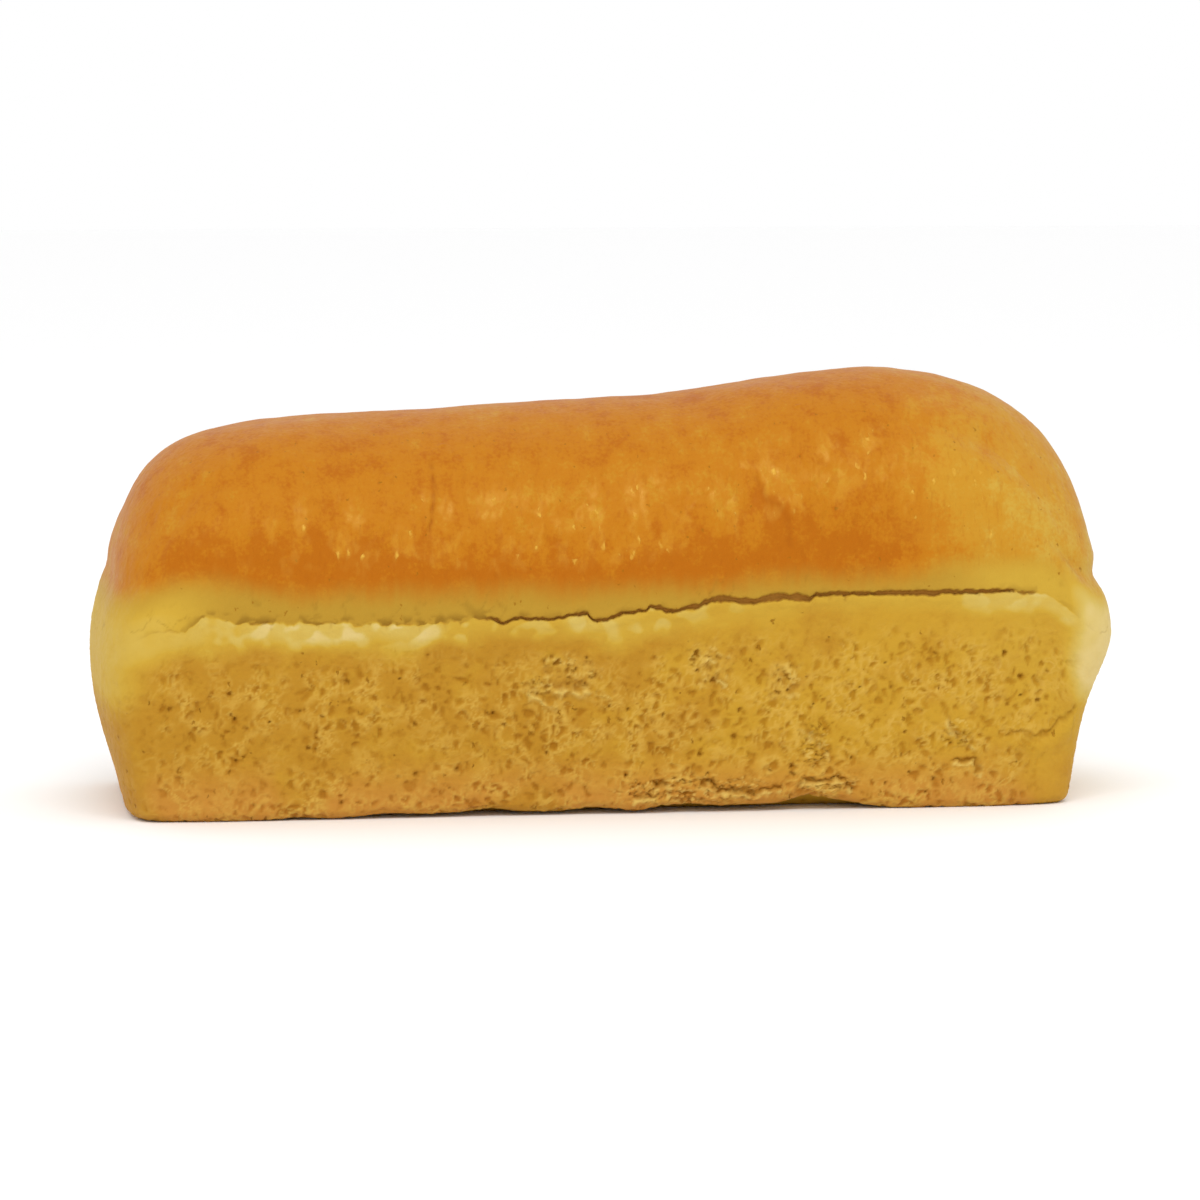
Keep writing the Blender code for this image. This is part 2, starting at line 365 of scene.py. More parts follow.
def loaf_form(cube, shift, jagged):
    """Places (n, 3) of the lattice's corners, and what the later steps need to know about them.

    From above, a corner lies on a superellipse over each end, with a straight stretch between them. Below the rim
    the wall leans straight down to a quarter circle at the base. Above the rim, size^d + up^d = 1 is a dome."""
    a, b, c = cube.T
    side = np.where(a < 0.0, -1.0, 1.0)
    end = End(*(np.where(a < 0.0, left, right) for left, right in zip(LEFT_END, RIGHT_END)))
    end_share = end.length / (0.5 * RIM_LENGTH)
    middle = np.minimum(abs(a) / (1.0 - end_share), 1.0)
    along = side * np.maximum(0.0, (abs(a) - (1.0 - end_share)) / end_share)
    up, down = np.maximum(0.0, c), np.maximum(0.0, -c)

    exponent = mix(end.rim_corner, end.base_corner, down)
    exponent += (end.crown_corner - end.rim_corner) * smooth_step(0.0, 1.0, up)
    size = (abs(along) ** exponent + abs(b) ** exponent) ** (1.0 / exponent)
    safe_size = np.where(size > 0.0, size, 1.0)
    turn = [np.sign(part) * (abs(part) / safe_size) ** (exponent - 1.0) for part in (along, b)]
    outwards = np.stack(turn + [np.zeros_like(a)], axis=1)
    outwards /= np.maximum(np.linalg.norm(outwards, axis=1, keepdims=True), 1e-9)
    at_end, at_side = abs(outwards[:, 0]), abs(outwards[:, 1])

    station = 0.5 * RIM_LENGTH * a
    rim = smooth_rim(station)
    drop = end.corner_drop * smooth_step(0.3, 1.0, at_end)
    plain_rim = rim - drop
    if jagged:
        near_rim = smooth_step(JAG_REACH, 0.0, abs(c))
        rim += at_side**2 * near_rim * (crack_line(station + shift[0], b < 0.0) - rim)
    rim -= drop

    towards_end = along**2 / (along**2 + b**2 + 1e-9)
    dome = mix(CROWN_SECTION, end.profile, towards_end)
    on_crown = (np.maximum(size**dome + up**dome, 1e-12)) ** (-1.0 / dome)
    on_tin = np.where(size > 0.0, np.maximum(abs(along), abs(b)) / safe_size, 1.0)
    scale = np.where(c >= 0.0, on_crown, on_tin)

    straight = 1.0 - EDGE_SHARE
    arc = 0.5 * math.pi * np.clip((down - straight) / EDGE_SHARE, 0.0, 1.0)
    height = np.where(down <= straight, mix(rim, BASE_EDGE_RADIUS, down / straight), BASE_EDGE_RADIUS * (1 - np.sin(arc)))
    inset = BASE_EDGE_RADIUS * (1.0 - np.cos(arc))
    share = np.where(c >= 0.0, 1.0, np.minimum(1.0, height / rim))
    half_length = 0.5 * mix(BASE_LENGTH, RIM_LENGTH, share) - inset
    half_width = 0.5 * mix(BASE_WIDTH, RIM_WIDTH, share) - inset
    x = side * (half_length - end.length) * middle + end.length * along * scale + BASE_SHIFT * (1.0 - share)
    y = half_width * b * scale
    ridge = RIDGE_HEIGHT + RIDGE_SLOPE * x + RIGHT_LOBE * smooth_step(RIGHT_LOBE_START, RIGHT_LOBE_END, x)
    height = np.where(c >= 0.0, rim + (ridge - rim) * up * scale, height)

    on_wall = np.maximum(abs(a), abs(b)) > 1.0 - 1e-6
    above = height - rim
    swelling = end.swelling * bell(above + end.swelling_below, end.swelling_reach)
    crease = end.crease * bell(above - end.crease_above, CREASE_HALF_WIDTH)
    lip = SPLIT_LIP * bell(above, SPLIT_LIP_REACH) * at_side**4
    out = np.where(on_wall | (c > 0.0), smooth_step(0.1, 0.9, at_end) * (swelling - crease) + lip, 0.0)
    x = x + out * outwards[:, 0]
    y = y + out * outwards[:, 1]
    wear = sum(
        np.where((y < 0.0) == front, lift * bell(x - place, half), 0.0)
        for front, wears in ((True, FRONT_EDGE_WEAR), (False, BACK_EDGE_WEAR))
        for place, half, lift in wears
    )
    for place, half, lift in EDGE_BITES:
        wear = wear + np.where(y < 0.0, lift * bell(x - place, half), 0.0)
    up_the_wall = np.where(on_wall, smooth_step(WEAR_SHARE * rim, 0.0, height), smooth_step(0.74, 1.0, abs(b)))
    height = height + np.where(on_wall | (c < -1.0 + 1e-9), wear * at_side * up_the_wall, 0.0)

    places = np.stack((x, y, height), axis=1) + shift
    return places, outwards, above, height - plain_rim, (height - rim) / (ridge - rim)


form = loaf_form(cube, np.zeros(3), jagged=False)[0]
middle_of_form = 0.5 * (form.min(axis=0) + form.max(axis=0))
shift = np.array((-middle_of_form[0], -middle_of_form[1], 0.0))
form, outwards, above_crack, above_rim, crown_share = loaf_form(cube, shift, jagged=True)
print("plain skin, mm:", np.round((form.max(axis=0) - form.min(axis=0)) / MM, 1), "shifted by", np.round(shift / MM, 2))

# %% [markdown]
# ## Which way the crust faces
#
# Relief is laid along the skin's own outward direction. A corner's direction is the sum of the directions of the
# quads that meet there, and a quad's direction is the cross product of its two diagonals.

# %% Directions


def facing(points):
    """Outward direction of each corner: the summed cross products of the diagonals of its quads, made length 1."""
    diagonal = points[quads[:, 2]] - points[quads[:, 0]], points[quads[:, 3]] - points[quads[:, 1]]
    turned = np.cross(*diagonal)
    total = np.stack(
        [
            sum(np.bincount(quads[:, n], weights=turned[:, axis], minlength=len(points)) for n in range(4))
            for axis in range(3)
        ],
        axis=1,
    )
    return total / np.maximum(np.linalg.norm(total, axis=1, keepdims=True), 1e-12)


normal = facing(form)
x, y, z = form.T
front = y < 0.0
on_crown = lattice[:, 2] >= RIM_ROW
on_base = lattice[:, 2] == 0
at_end, at_side = abs(outwards[:, 0]), abs(outwards[:, 1])
print("quads that face inwards:", int((np.einsum("ij,ij->i", normal, form - (0, 0, 0.06)) < 0).sum()))

# %% [markdown]
# ## Unevenness of the whole loaf
#
# Before any detail, a hand-sized loaf is never quite straight: its faces swell and sink by about half a
# millimetre over several centimetres.

# %% Broad unevenness

relief = 0.00050 * hills(form, 0.048, 1) + 0.00022 * hills(form, 0.019, 2)
marks = {}
print("unevenness, mm:", np.round(relief.min() / MM, 2), "to", np.round(relief.max() / MM, 2))

# %% [markdown]
# ## The walls: crumb printed against the tin
#
# Where dough touches the tin, its bubbles flatten. Each leaves a shallow dimple, painted slightly darker as shade,
# taller than it is wide because the dough was still rising, and the skins between bubbles stand up as pale
# threads. Some bubbles burst and left a sharp little pit, painted dark as shade in the hole. `bubbles` gives all
# three: far from a border is a dimple, close to it a thread, and a few centres become pits.

# %% Dimples, threads and pits


def stirred(points, size, reach, seed):
    """The points, each pushed a little aside by hills, so that patterns made on them lose their evenness."""
    return points + reach * np.stack([hills(points, size, seed + axis) for axis in range(3)], axis=1)


DIMPLE_SIZE = (0.0027, 0.0027, 0.0038)
SMALL_DIMPLE_SIZE = (0.0016, 0.0016, 0.0021)
PIT_SIZE = (0.0040, 0.0040, 0.0046)
THREAD_SIZE = (0.0042, 0.0042, 0.0075)

tin_skin = np.flatnonzero((lattice[:, 2] <= RIM_ROW + 30) & (lattice[:, 2] > 0))
wall = form[tin_skin]
uneven = stirred(stirred(wall, 0.0042, 0.0011, 20), 0.0014, 0.0004, 25)
near, second, share = bubbles(uneven, DIMPLE_SIZE, 30)
border = second - near
crumbly = 0.78 + 0.45 * hills(wall, 0.020, 40) + 0.25 * hills(wall, 0.008, 42)
crumbly += 0.15 * smooth_step(-0.08, 0.02, wall[:, 0]) - 0.15 * smooth_step(0.12, 0.145, wall[:, 0])
below_shoulder = smooth_step(-0.006, -0.020, above_rim[tin_skin])
crumbly = np.clip(crumbly, 0.15, 1.0) * below_shoulder
crumbly *= 1.0 - 0.6 * smooth_step(0.3, 0.9, at_end[tin_skin])
beside_flap = smooth_step(0.0, 0.010, wall[:, 0] - 0.120) * smooth_step(0.006, -0.006, wall[:, 2] - 0.021 - 0.65 * (wall[:, 0] - 0.125))
crumbly *= 1.0 - 0.75 * beside_flap * front[tin_skin]
oval = mix(0.30, 0.62, share) * mix(0.75, 1.0, crumbly)
dimple = smooth_step(oval, 0.45 * oval, near) * smooth_step(0.22, 0.50, share) * crumbly
thread = 0.7 * bell(border, 0.14)

near, second, share = bubbles(uneven, SMALL_DIMPLE_SIZE, 35)
small = smooth_step(0.05, 0.50, second - near) * smooth_step(0.35, 0.9, share) * np.sqrt(crumbly)
ridged = bell(hills(uneven, THREAD_SIZE, 43) + 0.3 * hills(uneven, 0.002, 44), 0.11)
thread = np.maximum(thread, ridged) * crumbly * smooth_step(-0.5, 0.4, hills(wall, 0.007, 41))

near, second, share = bubbles(stirred(wall, 0.0022, 0.0007, 50), PIT_SIZE, 60)
pit_reach = mix(0.11, 0.30, random_share(np.floor(share * 4096.0)[:, None] + np.zeros(3), 3) ** 2)
pit = smooth_step(pit_reach, 0.45 * pit_reach, near) * smooth_step(0.50, 0.54, share * mix(0.45, 1.0, crumbly))
dimple = np.clip(dimple + 0.58 * small, 0.0, 1.0)

fine = rough_hills(wall, 0.0016, 70)
relief[tin_skin] += 0.00024 * thread - 0.00055 * dimple - 0.00100 * pit + 0.00010 * fine
for name, values in (("dimple", dimple), ("thread", thread), ("pit", pit)):
    marks[name] = np.zeros(len(form))
    marks[name][tin_skin] = values
print("share of the walls in pits:", round(float(pit.mean()), 3), "and dimples:", round(float(dimple.mean()), 3))

# %% [markdown]
# ## The crown: a stretched, shiny skin
#
# The top skin dried and stretched as the dough kept rising. It carries fine upright wrinkles, a few small blisters,
# one sharp crease to the left of the middle and a soft fold to the right, all in the band that faces the light.

# %% Wrinkles, blisters and folds


def distance_to_path(x, z, path):
    """Distance to a bent line: the least of the distances to its straight stretches."""
    nearest = np.full(len(x), 9.0)
    for start, stop in zip(path, path[1:]):
        run, rise = stop[0] - start[0], stop[1] - start[1]
        share = np.clip(((x - start[0]) * run + (z - start[1]) * rise) / (run**2 + rise**2), 0.0, 1.0)
        nearest = np.minimum(nearest, np.hypot(x - start[0] - share * run, z - start[1] - share * rise))
    return nearest


CREASE = ((-0.0547, 0.106), (-0.0540, 0.098), (-0.0562, 0.0865))
BLISTERS = ((-0.0565, 0.0770, 0.0008), (-0.0445, 0.0825, 0.0007), (-0.0190, 0.0806, 0.0011))  # along, height, reach
SOFT_FOLD = ((0.0418, 0.1005), (0.0446, 0.0942), (0.0481, 0.0927), (0.0504, 0.0892), (0.0509, 0.0860), (0.0510, 0.0810))

SHINY_PATCH = (0.074, 0.020, 0.1015, 0.0055, 0.90)  # along, half length, height, half height, strength

top_skin = np.flatnonzero(on_crown)
crown = form[top_skin]
cx, cy, cz = crown.T
height_share = crown_share[top_skin]
wrinkle_band = band(0.36, 0.74, 0.14, height_share)
upright = rough_hills(stirred(crown, 0.006, 0.0012, 80) * (1.0, 0.35, 0.24), 0.0017, 84, 2)
patches = smooth_step(-0.15, 0.35, hills(crown, (0.012, 0.02, 0.014), 86))
along_the_top = band(-0.085, 0.085, 0.03, cx)
wrinkled = wrinkle_band * mix(0.35, 1.0, patches) * mix(0.5, 1.0, along_the_top)
soft = rough_hills(crown, (0.009, 0.012, 0.014), 88, 2)
near, second, share = bubbles(stirred(crown, 0.004, 0.0008, 90), 0.0085, 94)
blister = smooth_step(0.14, 0.04, near) * smooth_step(0.80, 0.84, share)
for place, height, reach in BLISTERS:
    blister = np.maximum(blister, bell(np.hypot(cx - place, cz - height), reach) * front[top_skin])
sharp = bell(distance_to_path(cx + 0.0004 * hills(crown, 0.003, 96), cz, CREASE), 0.0006) * front[top_skin]
sharp *= 0.65 + 0.5 * hills(crown, 0.003, 98)
fold_gap = distance_to_path(cx + 0.0004 * hills(crown, 0.004, 97), cz, SOFT_FOLD)
fold = bell(fold_gap, 0.0009) * front[top_skin]
fold_shade = bell(distance_to_path(cx + 0.0026, cz, SOFT_FOLD), 0.0034) * front[top_skin]
fold_lip = bell(distance_to_path(cx - 0.0024, cz, SOFT_FOLD), 0.0018) * front[top_skin]
foot_cracks = bell(hills(stirred(crown, 0.003, 0.0008, 99), (0.0045, 0.0045, 0.006), 150), 0.07)
foot_cracks *= smooth_step(0.010, 0.003, above_rim[top_skin]) * smooth_step(0.0, 0.4, hills(crown, 0.012, 153))
relief[top_skin] += 0.00027 * upright * wrinkled + 0.00013 * soft + 0.00030 * blister
relief[top_skin] += 0.00040 * fold_lip - 0.00045 * sharp - 0.00030 * fold_shade - 0.00015 * foot_cracks
# Glossy patches: smoother crust, and in the material also painted a paler gold as highlight; SHINY_PATCH is one such
# named patch.
clusters = hills(crown, (0.0065, 0.02, 0.012), 86) + 0.35 * hills(crown, 0.003, 87)
glossy_from = mix(0.27, 0.40, smooth_step(-0.02, 0.06, cx))
glossy = band(0.02, 0.28, 0.15, height_share - glossy_from) * smooth_step(-0.12, 0.50, clusters)
patch = bell(cx - SHINY_PATCH[0], SHINY_PATCH[1]) * bell(cz - SHINY_PATCH[2], SHINY_PATCH[3])
glossy = np.maximum(glossy * mix(0.30, 1.0, along_the_top), SHINY_PATCH[4] * patch)
wisps = hills(stirred(crown, 0.004, 0.0010, 160) * (1.0, 0.5, 0.34), 0.0017, 164)
glossy *= mix(0.30, 1.0, smooth_step(-0.25, 0.40, wisps))
glossy = np.maximum(glossy, 0.38 * smooth_step(0.070, 0.095, cx) * band(0.25, 0.85, 0.10, height_share))
glossy = mix(0.30, 1.0, glossy * at_side[top_skin]) * smooth_step(0.002, 0.016, above_rim[top_skin])
# The fold mark is painted darker in the material, as shade in the sharp crease and along the soft fold.
for name, values in (("gloss", glossy), ("foot_cracks", foot_cracks), ("fold", np.maximum(sharp, 0.55 * fold))):
    marks[name] = np.zeros(len(form))
    marks[name][top_skin] = np.clip(values, 0.0, 1.0)
print("wrinkled share of the crown:", round(float(wrinkled.mean()), 2))

# %% [markdown]
# ## The crack
#
# Late in the oven the crown lifted off the walls. On the left it only strained the skin and left a few broken dark
# dots, and from there to the right it tore right open. The crack is cut inwards, level with the table, so its
# crown side hangs over it a little.

# %% Open the crack

CRACK_DEPTH = 0.0013
CRACK_START, CRACK_END = -0.039, 0.1185
HAIR_SPACING = 0.0055  # of the short hair cracks that hang from it

torn_open = smooth_step(CRACK_START - 0.004, CRACK_START + 0.002, x) * smooth_step(CRACK_END + 0.0015, CRACK_END, x)
torn_open = np.maximum(torn_open, 0.6 * band(0.1208, 0.1250, 0.0015, x))
strained = smooth_step(-0.05, 0.35, hills(form, (0.0065, 9.0, 9.0), 100) + 0.5 * hills(form, (0.002, 9.0, 9.0), 102))
strained *= 0.42 * smooth_step(0.148, 0.143, abs(x)) * mix(0.5, 1.0, band(-0.118, -0.098, 0.006, x))
opened = np.where(front, np.maximum(torn_open, strained * (x < 0.0)), band(-0.10, 0.07, 0.02, x))
opened *= smooth_step(0.55, 0.95, at_side)
pinched = np.clip(0.90 + 0.45 * hills(form, (0.004, 9.0, 9.0), 104), 0.25, 1.0)
half_width = mix(0.90, 1.05, smooth_step(0.015, 0.030, x)) * crack_course(x, front, 2) * pinched
jagged_gap = abs(above_crack + 0.00030 * hills(form, 0.0012, 105))
crack = opened * smooth_step(half_width + 0.00035, half_width - 0.00015, jagged_gap)

hair_box = np.floor(x / HAIR_SPACING)
hair = [random_share(np.stack((hair_box, front * 1.0, 0.0 * x), axis=1), seed) for seed in (106, 107, 108)]
hair_gap = abs(x - (hair_box + mix(0.15, 0.85, hair[0])) * HAIR_SPACING + 0.0004 * hills(form, 0.003, 109))
hair_reach = mix(0.0008, 0.0040, hair[1] ** 2)
hairs = bell(hair_gap, 0.00035) * smooth_step(-hair_reach, -0.3 * hair_reach, above_crack)
hairs *= (hair[2] > 0.35) & (above_crack < 0.0)
hairs *= np.maximum(opened, 0.5 * front * (x < 0.0) * (x > -0.125)) * at_side
overhang = 0.00035 * opened * bell(above_crack - 0.0014, 0.0012)
drooping = 0.00030 * opened * bell(above_crack + 0.0020, 0.0014)
carved = overhang + drooping - CRACK_DEPTH * crack - 0.0006 * hairs
# Painted shade: the crack and its hair cracks are painted dark brown, as shade in the gap.
marks["crack"] = np.maximum(crack, 0.45 * hairs)
print("crack open over", round(float(opened[(abs(above_crack) < 1e-6) & front].mean()), 2), "of the front")

# %% [markdown]
# ## Tears in the walls
#
# The loaf was pulled from its tin, and bits of crust stayed behind. Each tear is a short named line on the front
# wall: a groove, painted dark as shade, with a pale lip below it. Two places lost enough crust to bare the crumb,
# whose holes are painted dark as shade too.

# %% Tears and bare crumb


class Tear(NamedTuple):
    """A line on the front wall as (along, height) places, with its groove and its raised lip."""

    path: tuple
    groove: float
    half_width: float
    lip: float


TEARS = (
    Tear(((0.0560, 0.0094), (0.0647, 0.0098), (0.0690, 0.0096), (0.0710, 0.0062)), 0.0010, 0.0006, 0.0007),
    Tear(((0.1025, 0.0150), (0.1055, 0.0146), (0.1080, 0.0152), (0.1095, 0.0140), (0.1097, 0.0112)), 0.0010, 0.0006, 0.0005),
    Tear(((0.0996, 0.0287), (0.1010, 0.0260), (0.1031, 0.0227), (0.1078, 0.0208)), 0.0004, 0.0008, 0.0008),
    Tear(((0.0560, 0.0262), (0.0580, 0.0240), (0.0610, 0.0205), (0.0645, 0.0178)), 0.0005, 0.0008, 0.0006),
    Tear(((0.0120, 0.0096), (0.0150, 0.0090)), 0.0014, 0.0008, 0.0003),
    Tear(((0.0262, 0.0094), (0.0290, 0.0088)), 0.0014, 0.0008, 0.0003),
    Tear(((0.0300, 0.0066), (0.0361, 0.0068), (0.0420, 0.0062), (0.0490, 0.0071)), 0.0010, 0.0006, 0.0008),
    Tear(((0.0060, 0.0050), (0.0085, 0.0060), (0.0120, 0.0058)), 0.0006, 0.0006, 0.0007),
    Tear(((-0.0270, 0.0398), (-0.0236, 0.0372), (-0.0195, 0.0354)), 0.0003, 0.0009, 0.0013),
    Tear(((-0.0185, 0.0396), (-0.0150, 0.0398), (-0.0118, 0.0386), (-0.0100, 0.0392)), 0.0003, 0.0009, 0.0013),
    Tear(((-0.0060, 0.0375), (-0.0035, 0.0360)), 0.0002, 0.0005, 0.0007),
    Tear(((0.0262, 0.0480), (0.0290, 0.0470)), 0.0003, 0.0005, 0.0007),
    Tear(((0.0300, 0.0420), (0.0315, 0.0395)), 0.0003, 0.0005, 0.0007),
)
FLAP = ((0.1195, 0.0222), (0.1232, 0.0232), (0.1268, 0.0210), (0.1321, 0.0228), (0.1346, 0.0256), (0.1396, 0.0286), (0.1450, 0.0330))
BARE_CRUMB = (
    (-0.0235, 0.0400, 0.0060, 0.0035),
    (-0.0140, 0.0435, 0.0085, 0.0055),
    (0.0270, 0.0460, 0.0065, 0.0080),
    (0.0505, 0.0400, 0.0060, 0.0060),
)
SHREDDED = (
    (0.0240, 0.0070, 0.0260, 0.0050),
    (0.0640, 0.0085, 0.0100, 0.0035),
    (0.0600, 0.0200, 0.0050, 0.0080),
    (0.1030, 0.0230, 0.0050, 0.0050),
)

ragged = stirred(form, 0.0022, 0.0009, 110)
tx, tz = ragged[:, 0], ragged[:, 2]
on_front_wall = front & (at_side > 0.5) & (above_rim < -0.004)
torn = np.zeros(len(form))
lips = np.zeros(len(form))
grooves = np.zeros(len(form))
for tear in TEARS:
    groove = bell(distance_to_path(tx, tz, tear.path), tear.half_width) * on_front_wall
    lip = bell(distance_to_path(tx, tz + 2.2 * tear.half_width, tear.path), tear.half_width) * on_front_wall
    relief += tear.lip * lip - tear.groove * groove
    grooves = np.maximum(grooves, groove * min(1.0, tear.groove / 0.0008))
    lips = np.maximum(lips, lip)
for place, height, half_length, half_height in BARE_CRUMB:
    inside = np.hypot((tx - place) / half_length, (tz - height) / half_height)
    torn = np.maximum(torn, smooth_step(1.15, 0.75, inside + 0.35 * hills(form, 0.004, 114)) * on_front_wall)
near, second, share = bubbles(stirred(form[torn > 0.0], 0.0016, 0.0006, 120), (0.0018, 0.0018, 0.0024), 118)
crumb = smooth_step(0.05, 0.45, second - near) * smooth_step(0.35, 0.90, share)
crumb_wall = smooth_step(0.28, 0.05, second - near) * smooth_step(-0.3, 0.3, hills(form[torn > 0.0], 0.0030, 122))
relief[torn > 0.0] -= torn[torn > 0.0] * (0.0009 * crumb - 0.0003 * crumb_wall - 0.0001)
grooves[torn > 0.0] = np.maximum(grooves[torn > 0.0], 0.78 * torn[torn > 0.0] * crumb)
lips[torn > 0.0] = np.maximum(lips[torn > 0.0], 0.60 * torn[torn > 0.0] * crumb_wall)
shreds = np.zeros(len(form))
for place, height, half_length, half_height in SHREDDED:
    inside = np.hypot((tx - place) / half_length, (tz - height) / half_height)
    shreds = np.maximum(shreds, smooth_step(1.15, 0.60, inside) * on_front_wall)
layer = hills(ragged, (0.0048, 0.0048, 0.0013), 121) + 0.4 * hills(form, 0.0014, 123)
relief += shreds * (0.00045 * smooth_step(0.0, 0.35, layer) - 0.00060 * bell(layer + 0.12, 0.12))
grooves = np.maximum(grooves, 0.62 * shreds * bell(layer + 0.12, 0.12))
lips = np.maximum(lips, 0.75 * shreds * band(0.08, 0.30, 0.08, layer))
flap_groove = bell(distance_to_path(tx, tz, FLAP), 0.0007) * on_front_wall
flap_swell = bell(distance_to_path(x - 0.0018, z + 0.0030, FLAP), 0.0028) * on_front_wall
relief += 0.0011 * flap_swell - 0.0009 * flap_groove
# Painted shade: the groove mark paints tear grooves, crumb holes, shred recesses and the flap's line dark brown.
marks["groove"] = np.clip(np.maximum(grooves, 0.55 * flap_groove), 0.0, 1.0)
marks["torn"] = np.clip(lips * smooth_step(-0.6, 0.25, hills(form, 0.0025, 116)) + 0.10 * torn, 0.0, 1.0)
print("corners in bare crumb:", int((torn > 0.5).sum()))

# %% [markdown]
# ## The underside
#
# Nothing shows it in use, but it is baked like the walls: flat, dull, and printed with small bubbles. The relief
# there only goes inwards, so the loaf still stands on the table.

# %% Bubbles in the base

base = np.flatnonzero(on_base)
near, second, share = bubbles(stirred(form[base], 0.004, 0.001, 130), 0.0052, 134)
base_pit = smooth_step(0.30, 0.12, near) * smooth_step(0.45, 0.55, share)
base_dimple = smooth_step(0.1, 0.5, second - near) * share
# Painted shade: the base's pits and dimples are marked to be painted darker, as shade in the hollows.
marks["pit"][base] = base_pit
marks["dimple"][base] = 0.6 * base_dimple
relief[base] = -0.0009 * base_pit - 0.0003 * base_dimple

skin = form + relief[:, None] * normal + carved[:, None] * outwards
skin[:, 2] = np.maximum(skin[:, 2], 0.0)
skin_normal = facing(skin)
print("corners without a place:", int(np.isnan(skin).any(axis=1).sum()))
print("finished skin, mm:", np.round((skin.max(axis=0) - skin.min(axis=0)) / MM, 1))

# %% [markdown]
# ## How brown each place is
#
# Colour follows heat. The crown's lower slopes faced the oven's walls and are the deepest orange, its foot was
# hidden until the crack opened and is olive-tan, and the shoulder below the crack is pale cream, painted paler
# still as light where it faces up. A dark band just above the crack is painted shade, and the crown's middle band
# is partly painted paler as highlight. These are slow changes over centimetres, so they are worked out here for
# each corner and handed to the materials as numbers.

# %% Browning

blotches = 0.08 * hills(form, 0.034, 140) + 0.07 * hills(form, (0.008, 0.02, 0.016), 141)
blotches += 0.05 * hills(form, (0.004, 0.01, 0.008), 142)
streaks = rough_hills(form, (0.0022, 0.012, 0.009), 151, 2)
rise = np.clip(crown_share, 0.0, 1.0)
baked = mix(1.0, 0.78, smooth_step(0.22, 0.62, rise)) + blotches + 0.04 * streaks
baked -= mix(0.66, 0.28, smooth_step(0.30, 0.75, rise)) * smooth_step(0.068, 0.125, x) + 0.30 * smooth_step(-0.128, -0.152, x) * smooth_step(0.75, 0.35, rise)
# Paler middle band of the crown: partly golden patches, partly painted highlight where the lamp's reflection falls.
baked -= 0.13 * band(-0.050, 0.060, 0.03, x) * band(0.30, 0.55, 0.12, rise)
baked += 0.14 * bell(x + 0.070, 0.040) * band(0.08, 0.28, 0.08, rise)
baked -= 0.24 * smooth_step(-0.100, -0.128, x) * smooth_step(0.36, 0.14, rise)
# Painted shade: the soft fold's shadowed side is browned a deeper orange.
baked[top_skin] += 0.25 * fold_shade

ragged_edge = 0.0010 * hills(form, (0.011, 0.02, 0.02), 143) + 0.0007 * streaks
foot_reach = mix(0.0075, 0.0125, smooth_step(-0.09, -0.14, x)) - 0.0025 * band(0.03, 0.08, 0.02, x) + ragged_edge
foot = smooth_step(foot_reach + 0.0050, foot_reach - 0.0055, above_rim)
foot *= np.where(at_side > 0.9, on_crown, smooth_step(-0.010, 0.000, above_rim))
# Painted shade: a dark olive band just above the crack, where the crown's foot hangs over it.
smudge = smooth_step(0.0030, 0.0004, above_crack) * on_crown * at_side**4
smudge *= smooth_step(-0.10, 0.35, hills(form, (0.0048, 0.02, 0.0030), 144) + 0.4 * hills(form, 0.0016, 152))
smudge *= mix(0.45, 1.0, band(-0.118, -0.035, 0.015, x)) * front

left_end = smooth_step(-0.112, -0.140, x)
right_end = smooth_step(0.092, 0.120, x)
# On the shoulder below the crack the cream is pale crust that tore late, painted paler still as light where the
# shoulder faces up.
cream_depth = mix(0.0138, 0.0085, smooth_step(-0.02, 0.08, x)) + 0.0035 * right_end
cream_depth *= 1.0 + 0.22 * hills(form, 0.012, 146) - 0.24 * band(-0.050, -0.012, 0.010, x)
strongest = mix(0.60, 0.26, smooth_step(-0.02, 0.045, x)) + 0.30 * right_end - 0.28 * bell(x + 0.117, 0.007)
strongest -= 0.20 * band(-0.050, -0.020, 0.008, x)
lumps = smooth_step(-0.05, 0.45, hills(form, (0.0065, 0.02, 0.0048), 145) + 0.40 * hills(form, 0.003, 154))
strongest += 0.34 * lumps * band(-0.115, -0.050, 0.02, x) + 0.22 * lumps * band(0.105, 0.132, 0.01, x)
strongest += 0.26 * (lumps - 0.4) * band(-0.040, 0.030, 0.015, x)
below_crack = smooth_step(0.0005, -0.0007, above_crack + 0.0004 * hills(form, 0.002, 155))
cream = strongest * smooth_step(-cream_depth, -0.30 * cream_depth, above_rim) * below_crack
cream = np.maximum(cream, 0.30 * right_end * smooth_step(0.012, 0.004, above_rim) * on_crown)
cream = np.maximum(cream, 0.15 * smooth_step(0.092, 0.125, x) * smooth_step(-0.045, -0.018, above_rim) * ~on_crown)
both_sides = smooth_step(0.014, 0.002, above_rim) * smooth_step(-0.015, -0.005, above_rim)
cream = mix(cream, 0.46 * both_sides, left_end)
rightwards = smooth_step(-0.1, 0.1, x)
rolled = smooth_step(0.50 - 0.09 * rightwards, 0.95 - 0.09 * rightwards, at_end)
rolled *= band(-0.013, 0.004, 0.013, above_rim) * mix(0.42, 1.00, rightwards)
cream = np.clip(np.maximum(cream, rolled), 0.0, 1.0) * (1.0 + 0.12 * hills(form, 0.005, 156))

